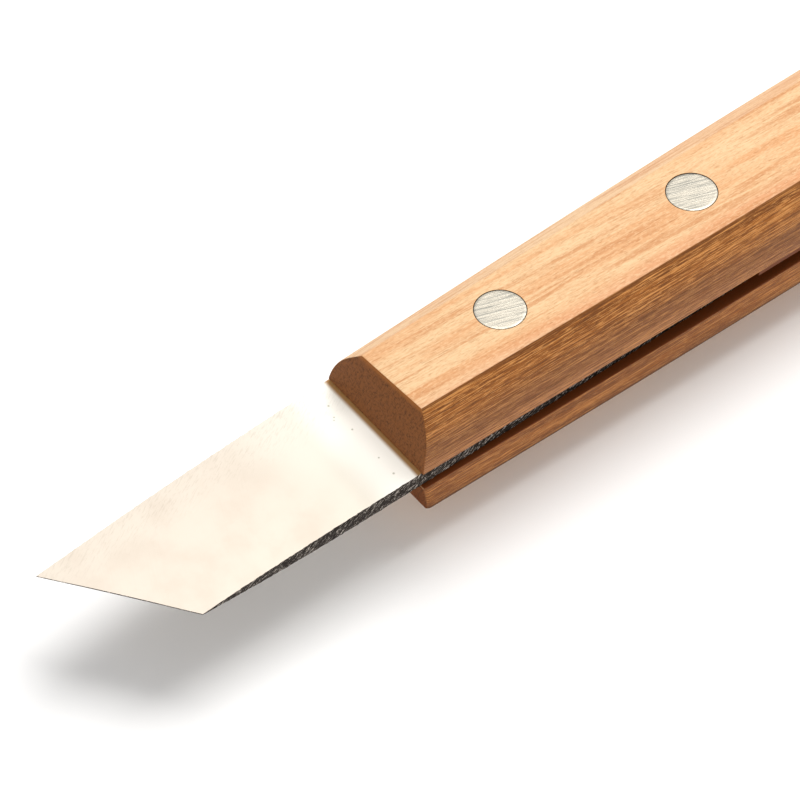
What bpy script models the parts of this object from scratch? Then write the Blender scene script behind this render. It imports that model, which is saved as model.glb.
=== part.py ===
"""A lino cutter: a skew steel blade whose short tang is riveted between two wooden scales.

Metres, +Z up. The knife points along -X and its lower scale lies on z = 0. Its cutting heel is on
the near side (-Y) and its point on the far side (+Y). Sizes below are given in a layout frame: x
runs back from the front of the handle, y runs from the blade's near edge to its far edge, and z is
measured from the blade's upper face. The layout empty carries that frame to its place.
"""

import math

import bmesh
import bpy
from mathutils import Matrix, Vector

MM = 0.001

# Clearances
FIT_GAP = 0.3 * MM  # between any two pieces that touch on the real knife
CUTTER_MARGIN = 5 * MM  # how far a cutter runs past what it cuts

# Blade and tang
BLADE_WIDTH = 16.6 * MM
STEEL_THICKNESS = 2.35 * MM
POINT_REACH = 42.4 * MM  # from the front of the handle to the point
HEEL_REACH = 30.9 * MM  # from the front of the handle to the heel
TANG_LENGTH = 49.7 * MM
TANG_END_WALL = 1.2 * MM  # steel left behind the middle rivet's hole
EDGE_LAND = 0.12 * MM  # steel left at the cutting edge
EDGE_DEPTH = 0.7 * MM  # the cutting edge, below the upper face: most of the steel comes off the lower face
EDGE_GRIND_WIDTH = 3.4 * MM  # square to the cutting edge
EDGE_GRIND_THICKNESS = 0.92 * MM  # steel where the edge grind ends
FACE_GRIND_WIDTH = 11.9 * MM  # square to the cutting edge
FACE_GRIND_THICKNESS = 1.9 * MM  # steel where the face grind ends and the long taper starts
BACK_RELIEF = 1.65 * MM  # how far the far edge curves in by the point
BACK_RELIEF_POWER = 1.3
BACK_FACETS = 6

# Handle, seen end on at its front
HANDLE_LENGTH = 115.0 * MM
NEAR_PROUD = 0.43 * MM  # wood beyond the blade's near edge
FAR_PROUD = 0.1 * MM  # wood beyond the blade's far edge
NEAR_CORNER_HEIGHT = 11.05 * MM  # the sharp near corner of the top, above the blade
NEAR_CURVE_START = 4.4 * MM  # where the near side begins to lean in
NEAR_CURVE_RADIUS = 15.0 * MM
FAR_SHOULDER = 5.28 * MM  # from the top's far corner out to the far side
TOP_TILT = math.radians(6.5)  # the top falls away to the far side
FAR_SLOPE = math.radians(51.0)
FAR_CURVE_RADIUS = 15.0 * MM
LOWER_SCALE_DEPTH = 5.0 * MM
NEAR_FOOT_RADIUS = 0.4 * MM
FAR_FOOT_RADIUS = 4.0 * MM

# Handle, seen along its length
BELLY_AT = 75.0 * MM  # where the handle is widest
NEAR_FLARE = 1.0 * MM
FAR_FLARE = 1.6 * MM
BUTT_NARROWING = 1.2 * MM  # lost from each flare again by the butt
BUTT_ROUND_LENGTH = 5.0 * MM
BUTT_ROUND_INSET = 2.6 * MM
LOWER_SETBACK = 0.3 * MM  # the lower scale starts a little behind the upper one
LOWER_RAKE = math.radians(12.0)

# Joint between the scales
REBATE_DEPTH = 0.65 * MM  # cut in the upper scale for the tang
SPACER_INSET = 2.6 * MM
SPACER_CORNER_RADIUS = 3.0 * MM

# Rivets
RIVET_RADIUS = 3.0 * MM
RIVET_Y = 6.9 * MM
FRONT_RIVET_X = 16.4 * MM
REAR_RIVET_INSET = 16.4 * MM  # in from the butt

# Faceting
ROUND_SEGMENTS = 48
ARC_STEPS = 8
FLANK_STATIONS = 14
BUTT_STATIONS = 6

# Sizes that follow
HANDLE_DEPTH = STEEL_THICKNESS + FIT_GAP + LOWER_SCALE_DEPTH
UPPER_SEAT = FIT_GAP
LOWER_SEAT = -STEEL_THICKNESS - FIT_GAP
UPPER_TAIL_SEAT = UPPER_SEAT - REBATE_DEPTH
HOLE_RADIUS = RIVET_RADIUS + FIT_GAP
MIDDLE_RIVET_X = TANG_LENGTH - TANG_END_WALL - HOLE_RADIUS
REAR_RIVET_X = HANDLE_LENGTH - REAR_RIVET_INSET


def clear_scene():
    """Removes every object, so that the script can be run again."""
    for obj in list(bpy.data.objects):
        bpy.data.objects.remove(obj, do_unlink=True)


def collection(name, hidden=False):
    """Makes a collection in the scene; a hidden one holds cutters and never renders."""
    made = bpy.data.collections.new(name)
    made.hide_render = hidden
    bpy.context.scene.collection.children.link(made)
    return made


def material(name, colour, roughness, metallic=0.0):
    """Makes a Principled material of one colour."""
    made = bpy.data.materials.new(name)
    made.use_nodes = True
    shader = made.node_tree.nodes["Principled BSDF"]
    shader.inputs["Base Color"].default_value = (*colour, 1.0)
    shader.inputs["Roughness"].default_value = roughness
    shader.inputs["Metallic"].default_value = metallic
    made.diffuse_color = (*colour, 1.0)
    return made


def mesh_object(name, bm, group, layout, finish=None):
    """Turns a bmesh into a named object on the layout empty."""
    bmesh.ops.recalc_face_normals(bm, faces=bm.faces)
    mesh = bpy.data.meshes.new(name)
    bm.to_mesh(mesh)
    bm.free()
    obj = bpy.data.objects.new(name, mesh)
    obj.parent = layout
    group.objects.link(obj)
    if finish is None:
        obj.hide_render = True
        obj.display_type = "WIRE"
    else:
        mesh.materials.append(finish)
        mesh.shade_smooth()
        mesh.set_sharp_from_angle(angle=math.radians(30))
    return obj


def box(low, high):
    """Makes a box between two corners."""
    bm = bmesh.new()
    low, high = Vector(low), Vector(high)
    place = Matrix.Translation((low + high) / 2) @ Matrix.Diagonal((*(high - low), 1.0))
    bmesh.ops.create_cube(bm, size=1.0, matrix=place)
    return bm


def upright_cylinder(x, y, low, high, radius):
    """Makes a cylinder that stands along z between two heights."""
    bm = bmesh.new()
    bmesh.ops.create_cone(
        bm,
        cap_ends=True,
        segments=ROUND_SEGMENTS,
        radius1=radius,
        radius2=radius,
        depth=high - low,
        matrix=Matrix.Translation((x, y, (low + high) / 2)),
    )
    return bm


def plane_off(bm, point, outward):
    """Cuts away what lies beyond a plane and closes the cut."""
    whole = [*bm.verts, *bm.edges, *bm.faces]
    cut = bmesh.ops.bisect_plane(
        bm, geom=whole, dist=1e-8, plane_co=point, plane_no=outward, clear_outer=True
    )
    rim = [item for item in cut["geom_cut"] if isinstance(item, bmesh.types.BMEdge)]
    bmesh.ops.holes_fill(bm, edges=rim)


def boolean(obj, cutter, operation="DIFFERENCE"):
    """Adds a live exact Boolean."""
    modifier = obj.modifiers.new(cutter.name, "BOOLEAN")
    modifier.operation = operation
    modifier.object = cutter
    modifier.solver = "EXACT"


def arc(centre, radius, start, end, steps=ARC_STEPS):
    """Gives points along an arc in the y, z plane, both ends included."""
    turns = [start + (end - start) * step / steps for step in range(steps + 1)]
    return [
        (centre[0] + radius * math.cos(turn), centre[1] + radius * math.sin(turn)) for turn in turns
    ]


def front_section():
    """Gives the handle's end outline as (y, z), from the near foot round by the top to the far foot."""
    near = -NEAR_PROUD
    far = BLADE_WIDTH + FAR_PROUD
    foot = -HANDLE_DEPTH
    lean_end = math.asin((NEAR_CORNER_HEIGHT - NEAR_CURVE_START) / NEAR_CURVE_RADIUS)
    near_foot = arc(
        (near + NEAR_FOOT_RADIUS, foot + NEAR_FOOT_RADIUS),
        NEAR_FOOT_RADIUS,
        -math.pi / 2,
        -math.pi,
    )
    near_side = arc(
        (near + NEAR_CURVE_RADIUS, NEAR_CURVE_START),
        NEAR_CURVE_RADIUS,
        math.pi,
        math.pi - lean_end,
    )
    top_width = far - FAR_SHOULDER - near_side[-1][0]
    far_top = (far - FAR_SHOULDER, NEAR_CORNER_HEIGHT - top_width * math.tan(TOP_TILT))
    slope_start = math.pi / 2 - FAR_SLOPE
    bulge_y = far - FAR_CURVE_RADIUS
    curve_top_y = bulge_y + FAR_CURVE_RADIUS * math.cos(slope_start)
    curve_top_z = far_top[1] - (curve_top_y - far_top[0]) * math.tan(FAR_SLOPE)
    bulge_z = curve_top_z - FAR_CURVE_RADIUS * math.sin(slope_start)
    far_side = arc((bulge_y, bulge_z), FAR_CURVE_RADIUS, slope_start, 0.0)
    far_foot = arc(
        (far - FAR_FOOT_RADIUS, foot + FAR_FOOT_RADIUS), FAR_FOOT_RADIUS, 0.0, -math.pi / 2
    )
    return [*near_foot, *near_side, far_top, *far_side, *far_foot]


def swell(x):
    """Gives the share of the flare at x, rising to 1 at the belly and falling a little by the butt."""
    if x <= BELLY_AT:
        return math.sin(x / BELLY_AT * math.pi / 2)
    past = (x - BELLY_AT) / (HANDLE_LENGTH - BELLY_AT)
    return 1.0 - BUTT_NARROWING / (NEAR_FLARE + FAR_FLARE) * past * past


def section_at(x):
    """Gives the handle's outline at x: the front outline widened by the flare, drawn in at the butt."""
    outline = front_section()
    near, far = -NEAR_PROUD, BLADE_WIDTH + FAR_PROUD
    flared = []
    for y, z in outline:
        share = (y - near) / (far - near)
        flared.append((y + swell(x) * (FAR_FLARE * share - NEAR_FLARE * (1 - share)), z))
    along = max(0.0, x - (HANDLE_LENGTH - BUTT_ROUND_LENGTH)) / BUTT_ROUND_LENGTH
    inset = BUTT_ROUND_INSET * (1.0 - math.sqrt(max(0.0, 1.0 - along * along)))
    middle_y = (near + far) / 2
    middle_z = (NEAR_CORNER_HEIGHT - HANDLE_DEPTH) / 2
    shrink_y = 1.0 - inset / ((far - near) / 2)
    shrink_z = 1.0 - inset / ((NEAR_CORNER_HEIGHT + HANDLE_DEPTH) / 2)
    return [
        (x, middle_y + (y - middle_y) * shrink_y, middle_z + (z - middle_z) * shrink_z)
        for y, z in flared
    ]


def handle_stations():
    """Gives the x of each loft section, the belly among them, closer together round the butt."""
    straight_end = HANDLE_LENGTH - BUTT_ROUND_LENGTH
    flank = [straight_end * step / FLANK_STATIONS for step in range(FLANK_STATIONS)]
    butt = [
        straight_end + BUTT_ROUND_LENGTH * math.sin(math.pi / 2 * step / BUTT_STATIONS)
        for step in range(BUTT_STATIONS + 1)
    ]
    return sorted({*flank, BELLY_AT, *butt})


def handle_blank():
    """Lofts the whole handle, as the scales are shaped together on the bench."""
    bm = bmesh.new()
    rings = [[bm.verts.new(point) for point in section_at(x)] for x in handle_stations()]
    for ring, following in zip(rings, rings[1:]):
        for index, vert in enumerate(ring):
            before = index - 1
            bm.faces.new((ring[before], vert, following[index], following[before]))
    bm.faces.new(rings[0])
    bm.faces.new(rings[-1])
    return bm


def back_edge_y(x):
    """Gives the far edge of the blade at x: straight at the handle, curving in by the point."""
    return BLADE_WIDTH - BACK_RELIEF * (max(0.0, -x) / POINT_REACH) ** BACK_RELIEF_POWER


def blade_blank():
    """Planes the blade and its tang out of a flat bar: far edge, skew cut and grinds on both faces."""
    bm = box((-POINT_REACH - CUTTER_MARGIN, 0.0, -STEEL_THICKNESS), (TANG_LENGTH, BLADE_WIDTH, 0.0))
    heel = Vector((-HEEL_REACH, 0.0, -STEEL_THICKNESS / 2))
    point = Vector((-POINT_REACH, back_edge_y(-POINT_REACH), -STEEL_THICKNESS / 2))
    along = (point - heel).normalized()
    forward = Vector((-along.y, along.x, 0.0))
    if forward.x > 0:
        forward.negate()
    for step in range(BACK_FACETS):
        ahead = -POINT_REACH * (step + 1) / BACK_FACETS
        behind = -POINT_REACH * step / BACK_FACETS
        chord = Vector((ahead - behind, back_edge_y(ahead) - back_edge_y(behind), 0.0))
        plane_off(bm, (behind, back_edge_y(behind), 0.0), Vector((chord.y, -chord.x, 0.0)))
    plane_off(bm, heel, forward)
    taper_width = HEEL_REACH * along.y
    grinds = (
        (0.0, EDGE_LAND, EDGE_GRIND_WIDTH, EDGE_GRIND_THICKNESS),
        (EDGE_GRIND_WIDTH, EDGE_GRIND_THICKNESS, FACE_GRIND_WIDTH, FACE_GRIND_THICKNESS),
        (FACE_GRIND_WIDTH, FACE_GRIND_THICKNESS, taper_width, STEEL_THICKNESS),
    )
    upper_share = EDGE_DEPTH / STEEL_THICKNESS
    for start, start_thickness, end, end_thickness in grinds:
        for side, share in ((1, upper_share), (-1, 1 - upper_share)):
            rise = math.atan(share * (end_thickness - start_thickness) / (end - start))
            ground = Vector((0.0, 0.0, side * math.cos(rise))) + forward * math.sin(rise)
            left = STEEL_THICKNESS / 2 - share * (STEEL_THICKNESS - start_thickness)
            plane_off(bm, heel - forward * start + Vector((0.0, 0.0, side * left)), ground)
    return bm


def spacer_blank():
    """Makes the hidden strip that fills the joint behind the tang."""
    near = -NEAR_PROUD + SPACER_INSET
    far = BLADE_WIDTH + FAR_PROUD - SPACER_INSET
    low = (TANG_LENGTH + FIT_GAP, near, LOWER_SEAT + FIT_GAP)
    high = (HANDLE_LENGTH - BUTT_ROUND_INSET - SPACER_INSET, far, UPPER_TAIL_SEAT - FIT_GAP)
    bm = box(low, high)
    rear = [
        edge
        for edge in bm.edges
        if all(vert.co.x > high[0] - FIT_GAP for vert in edge.verts)
        and abs(edge.verts[0].co.z - edge.verts[1].co.z) > FIT_GAP
    ]
    bmesh.ops.bevel(
        bm, geom=rear, offset=SPACER_CORNER_RADIUS, segments=ARC_STEPS, affect="EDGES", profile=0.5
    )
    return bm


def layout_empty(group):
    """Makes the empty that puts the middle of the outline over the origin and the underside on z = 0."""
    empty = bpy.data.objects.new("layout", None)
    middle_y = (BLADE_WIDTH + FAR_PROUD + FAR_FLARE - NEAR_PROUD - NEAR_FLARE) / 2
    empty.location = ((POINT_REACH - HANDLE_LENGTH) / 2, -middle_y, HANDLE_DEPTH)
    group.objects.link(empty)
    return empty


def build():
    """Builds the knife: seven pieces and the cutters that shape them."""
    clear_scene()
    parts = collection("lino_cutter")
    tools = collection("cutters", hidden=True)
    layout = layout_empty(parts)
    steel = material("ground_steel", (0.78, 0.74, 0.68), 0.3, 1.0)
    upper_wood = material("upper_scale_wood", (0.78, 0.47, 0.26), 0.5)
    lower_wood = material("lower_scale_wood", (0.62, 0.34, 0.18), 0.5)
    spacer_wood = material("spacer_wood", (0.16, 0.06, 0.03), 0.7)
    front_rivet_metal = material("front_rivet_aluminium", (0.80, 0.80, 0.79), 0.35, 1.0)
    middle_rivet_metal = material("middle_rivet_aluminium", (0.80, 0.80, 0.79), 0.35, 1.0)
    rear_rivet_metal = material("rear_rivet_aluminium", (0.80, 0.80, 0.79), 0.35, 1.0)

    below = -HANDLE_DEPTH - CUTTER_MARGIN
    above = NEAR_CORNER_HEIGHT + CUTTER_MARGIN
    near = -NEAR_PROUD - NEAR_FLARE - CUTTER_MARGIN
    far = BLADE_WIDTH + FAR_PROUD + FAR_FLARE + CUTTER_MARGIN
    front, rear = -CUTTER_MARGIN, HANDLE_LENGTH + CUTTER_MARGIN

    blank = mesh_object("handle_outline", handle_blank(), tools, layout)
    under_upper = mesh_object(
        "under_upper", box((front, near, below), (rear, far, UPPER_TAIL_SEAT)), tools, layout
    )
    rebate = mesh_object(
        "tang_rebate",
        box((front, near, below), (TANG_LENGTH + FIT_GAP, far, UPPER_SEAT)),
        tools,
        layout,
    )
    over_lower = mesh_object(
        "over_lower", box((front, near, LOWER_SEAT), (rear, far, above)), tools, layout
    )

    rivets = (
        ("front_rivet", FRONT_RIVET_X, front_rivet_metal),
        ("middle_rivet", MIDDLE_RIVET_X, middle_rivet_metal),
        ("rear_rivet", REAR_RIVET_X, rear_rivet_metal),
    )
    holes = {}
    for name, x, metal in rivets:
        drill = upright_cylinder(x, RIVET_Y, below, above, HOLE_RADIUS)
        holes[name] = mesh_object(f"{name}_hole", drill, tools, layout)
        pin = upright_cylinder(x, RIVET_Y, below, above, RIVET_RADIUS)
        boolean(mesh_object(name, pin, parts, layout, metal), blank, "INTERSECT")

    blade = mesh_object("blade", blade_blank(), parts, layout, steel)
    boolean(blade, holes["front_rivet"])
    boolean(blade, holes["middle_rivet"])

    upper = mesh_object("upper_scale", handle_blank(), parts, layout, upper_wood)
    boolean(upper, under_upper)
    boolean(upper, rebate)

    raked = handle_blank()
    rake = Vector((-math.cos(LOWER_RAKE), 0.0, -math.sin(LOWER_RAKE)))
    plane_off(raked, (LOWER_SETBACK, 0.0, LOWER_SEAT), rake)
    lower = mesh_object("lower_scale", raked, parts, layout, lower_wood)
    boolean(lower, over_lower)
    for scale in (upper, lower):
        for hole in holes.values():
            boolean(scale, hole)

    spacer = mesh_object("tail_spacer", spacer_blank(), parts, layout, spacer_wood)
    boolean(spacer, holes["rear_rivet"])


build()
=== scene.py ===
"""Looks of the lino cutter: fine surfaces and finishes for the seven pieces of its fixed frame.

Sizes are in millimetres in a layout frame and are turned into metres only when a mesh is made. Its
x runs back from the front of the handle, its y runs from the blade's near edge to its far edge, and
its z is measured from the blade's upper face. The frame's own boxes give the layout's place.
"""

import logging
import math
from dataclasses import dataclass, field
from enum import Enum
from typing import Any, Sequence, Union

import bpy
import numpy as np
from mathutils import Matrix, Vector


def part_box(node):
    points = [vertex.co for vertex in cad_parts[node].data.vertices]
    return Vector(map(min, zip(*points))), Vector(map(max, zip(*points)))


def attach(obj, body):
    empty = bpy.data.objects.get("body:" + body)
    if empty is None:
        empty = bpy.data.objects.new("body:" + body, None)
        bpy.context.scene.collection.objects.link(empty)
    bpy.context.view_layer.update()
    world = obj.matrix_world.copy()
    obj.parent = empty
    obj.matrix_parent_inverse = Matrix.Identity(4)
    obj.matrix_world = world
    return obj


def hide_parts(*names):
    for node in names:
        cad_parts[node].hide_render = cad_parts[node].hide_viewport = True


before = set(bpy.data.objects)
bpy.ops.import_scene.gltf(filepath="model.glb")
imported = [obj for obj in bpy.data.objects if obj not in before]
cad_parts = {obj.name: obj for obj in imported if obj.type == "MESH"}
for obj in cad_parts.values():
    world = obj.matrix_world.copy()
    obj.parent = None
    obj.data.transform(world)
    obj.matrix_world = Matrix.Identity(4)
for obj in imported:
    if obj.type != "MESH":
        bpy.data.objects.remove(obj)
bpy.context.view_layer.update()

LOG = logging.getLogger("lino_cutter")
MM = 0.001
BODY = "root"
# A foot this low lies under every piece, so the wood gets no painted shade line along its lower edge.
NO_FOOT = -99.0
FILLET_POINTS = 7

Point = Sequence[float]
Triple = tuple[float, float, float]
Colour = Triple
LEVEL: Triple = (0.0, 0.0, 0.0)


# ---------------------------------------------------------------------------------------------
# Surfaces


def crowded(count: int) -> np.ndarray:
    """Gives shares from 0 to 1 that crowd towards both ends: a fifth of an even step plus four
    fifths of (1 - cos)/2.

    Args:
        count: How many shares.

    Returns:
        The shares, both ends included.
    """
    t = np.linspace(0, 1, count)
    return 0.2 * t + 0.8 * (1 - np.cos(np.pi * t)) / 2


def run(start: Point, end: Point, count: int) -> np.ndarray:
    """Gives a straight line of points that crowd towards both ends.

    Args:
        start: The first point.
        end: The last point.
        count: How many points.

    Returns:
        The points, shape (count, 2).
    """
    first, last = np.array(start), np.array(end)
    return first + (last - first) * crowded(count)[:, None]


def fillet(before: Point, corner: Point, after: Point, radius: float) -> np.ndarray:
    """Rounds a corner with a quadratic curve that starts and ends where an arc of this radius would.

    Args:
        before: A point on the way in.
        corner: The corner.
        after: A point on the way out.
        radius: The rounding's radius.

    Returns:
        The rounding's points.
    """
    corner = np.array(corner)
    back, on = np.array(before) - corner, np.array(after) - corner
    back, on = back / np.linalg.norm(back), on / np.linalg.norm(on)
    reach = radius / math.tan(math.acos(np.clip(back @ on, -1, 1)) / 2)
    t = np.linspace(0, 1, FILLET_POINTS)[:, None]
    return corner + reach * ((1 - t) ** 2 * back + t**2 * on)


def respaced(path: np.ndarray, count: int) -> np.ndarray:
    """Puts a fixed count of points along a path, by its length, crowding towards both ends.

    Args:
        path: The path, shape (K, 2).
        count: How many points.

    Returns:
        The points, shape (count, 2).
    """
    along = np.concatenate([[0.0], np.cumsum(np.linalg.norm(np.diff(path, axis=0), axis=1))])
    where = crowded(count) * along[-1]
    return np.stack([np.interp(where, along, path[:, 0]), np.interp(where, along, path[:, 1])], axis=1)


def joined(parts: Sequence[np.ndarray]) -> np.ndarray:
    """Joins pieces of a closed outline, leaving out each piece's last point, which the next repeats."""
    return np.concatenate([part[:-1] for part in parts])


def turn(centre: Point, radius: float, start: float, end: float, count: int) -> np.ndarray:
    """Gives an arc: centre + radius * (cos t, sin t), with t going from start to end and crowding
    towards both.

    Args:
        centre: The arc's centre.
        radius: Its radius.
        start: The first angle in radians.
        end: The last angle in radians.
        count: How many points, both ends included.

    Returns:
        The points, shape (count, 2).
    """
    t = start + (end - start) * crowded(count)
    return np.stack([centre[0] + radius * np.cos(t), centre[1] + radius * np.sin(t)], axis=1)


def inward(loop: np.ndarray) -> np.ndarray:
    """Gives each point's inward unit normal in a counter-clockwise closed loop: the chord between
    its neighbours turned a quarter turn left.

    Args:
        loop: The loop or a stack of them, shape (..., N, 2).

    Returns:
        The unit normals, in the same shape.
    """
    chord = np.roll(loop, -1, axis=-2) - np.roll(loop, 1, axis=-2)
    left = np.stack([-chord[..., 1], chord[..., 0]], axis=-1)
    return left / np.maximum(np.linalg.norm(left, axis=-1, keepdims=True), 1e-9)


def mesh_from_rings(name: str, rings: np.ndarray, origin: Vector) -> bpy.types.Object:
    """Makes a closed skin from rings of points: a quad for every step of both grid parameters, and
    a fan to a middle point at each end.

    Args:
        name: The object's name.
        rings: The grid in layout millimetres, shape (M, N, 3), each ring closed on itself.
        origin: Where the layout's zero lies, in metres.

    Returns:
        The object, with its place in its mesh.
    """
    rows, columns, _ = rings.shape
    middles = np.stack([rings[0].mean(axis=0), rings[-1].mean(axis=0)])
    points = np.concatenate([rings.reshape(-1, 3), middles]) * MM + np.array(origin)
    row, column = np.meshgrid(np.arange(rows - 1), np.arange(columns), indexing="ij")
    after = (column + 1) % columns
    quads = np.stack(
        [
            row * columns + column,
            row * columns + after,
            (row + 1) * columns + after,
            (row + 1) * columns + column,
        ],
        axis=-1,
    ).reshape(-1, 4)
    side = np.arange(columns)
    ahead = (side + 1) % columns
    first = np.full(columns, rows * columns)
    last_ring = (rows - 1) * columns
    fans = np.concatenate(
        [
            np.stack([ahead, side, first], axis=1),
            np.stack([last_ring + side, last_ring + ahead, first + 1], axis=1),
        ]
    )
    mesh = bpy.data.meshes.new(name)
    mesh.from_pydata(points.tolist(), [], quads.tolist() + fans.tolist())
    mesh.validate()
    obj = bpy.data.objects.new(name, mesh)
    bpy.context.scene.collection.objects.link(obj)
    return obj


def drill(obj: bpy.types.Object, drills: Sequence[bpy.types.Object]) -> None:
    """Cuts holes in a piece with exact Booleans and keeps the result as its mesh.

    Args:
        obj: The piece.
        drills: The cutters.
    """
    for tool in drills:
        cut = obj.modifiers.new(tool.name, "BOOLEAN")
        cut.operation, cut.solver, cut.object = "DIFFERENCE", "EXACT", tool
    graph = bpy.context.evaluated_depsgraph_get()
    finished = bpy.data.meshes.new_from_object(obj.evaluated_get(graph))
    obj.modifiers.clear()
    obj.data = finished


def waves(x: np.ndarray, lengths: Sequence[float], seed: int) -> np.ndarray:
    """Gives a smooth irregular line: the mean of one sine per wavelength, with seeded phases.

    Args:
        x: Where to work it out, in millimetres.
        lengths: The wavelengths in millimetres.
        seed: Picks the phases.

    Returns:
        Values between -1 and 1, shaped like x.
    """
    phases = np.random.default_rng(seed).uniform(0, 2 * np.pi, len(lengths))
    return sum(np.sin(2 * np.pi * x / n + p) for n, p in zip(lengths, phases)) / len(lengths)


# ---------------------------------------------------------------------------------------------
# Shader maths


class Field:
    """A number that varies over a surface: one socket that answers to Python's arithmetic."""

    def __init__(self, sheet: "NodeSheet", socket: bpy.types.NodeSocket) -> None:
        """Wraps a socket of a sheet's nodes."""
        self.sheet = sheet
        self.socket = socket

    def _math(self, operation: str, *values: Union["Field", float]) -> "Field":
        """Adds one Math node over these values."""
        inputs = {index: value for index, value in enumerate(values)}
        return self.sheet.node("ShaderNodeMath", {"operation": operation}, inputs).field(0)

    def __add__(self, other: Union["Field", float]) -> "Field":
        """self + other"""
        return self._math("ADD", self, other)

    __radd__ = __add__

    def __sub__(self, other: Union["Field", float]) -> "Field":
        """self - other"""
        return self._math("SUBTRACT", self, other)

    def __rsub__(self, other: float) -> "Field":
        """other - self"""
        return self._math("SUBTRACT", other, self)

    def __mul__(self, other: Union["Field", float]) -> "Field":
        """self * other"""
        return self._math("MULTIPLY", self, other)

    __rmul__ = __mul__

    def __pow__(self, power: float) -> "Field":
        """self ** power"""
        return self._math("POWER", self, power)

    def __abs__(self) -> "Field":
        """abs(self)"""
        return self._math("ABSOLUTE", self)

    def __neg__(self) -> "Field":
        """-self"""
        return self._math("MULTIPLY", self, -1.0)

    def most(self, other: Union["Field", float]) -> "Field":
        """The larger of the two."""
        return self._math("MAXIMUM", self, other)

    def rise(self, low: float, high: float) -> "Field":
        """Goes smoothly from 0 at low to 1 at high, and stays there.

        Args:
            low: The value that gives 0; it may lie above high.
            high: The value that gives 1.

        Returns:
            The smooth step.
        """
        if low > high:
            return 1.0 - self.rise(high, low)
        inputs = {"Value": self, "From Min": low, "From Max": high, "To Min": 0.0, "To Max": 1.0}
        return self.sheet.node("ShaderNodeMapRange", {"interpolation_type": "SMOOTHSTEP"}, inputs).field(0)


@dataclass
class Placed:
    """A node that has been added, with its outputs as fields or as plain sockets."""

    sheet: "NodeSheet"
    made: bpy.types.Node

    def field(self, output: Union[int, str]) -> Field:
        """Gives an output as a number to reckon with."""
        return Field(self.sheet, self.made.outputs[output])

    def out(self, output: Union[int, str] = 0) -> bpy.types.NodeSocket:
        """Gives an output as it is, for colours, vectors and shaders."""
        return self.made.outputs[output]


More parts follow.
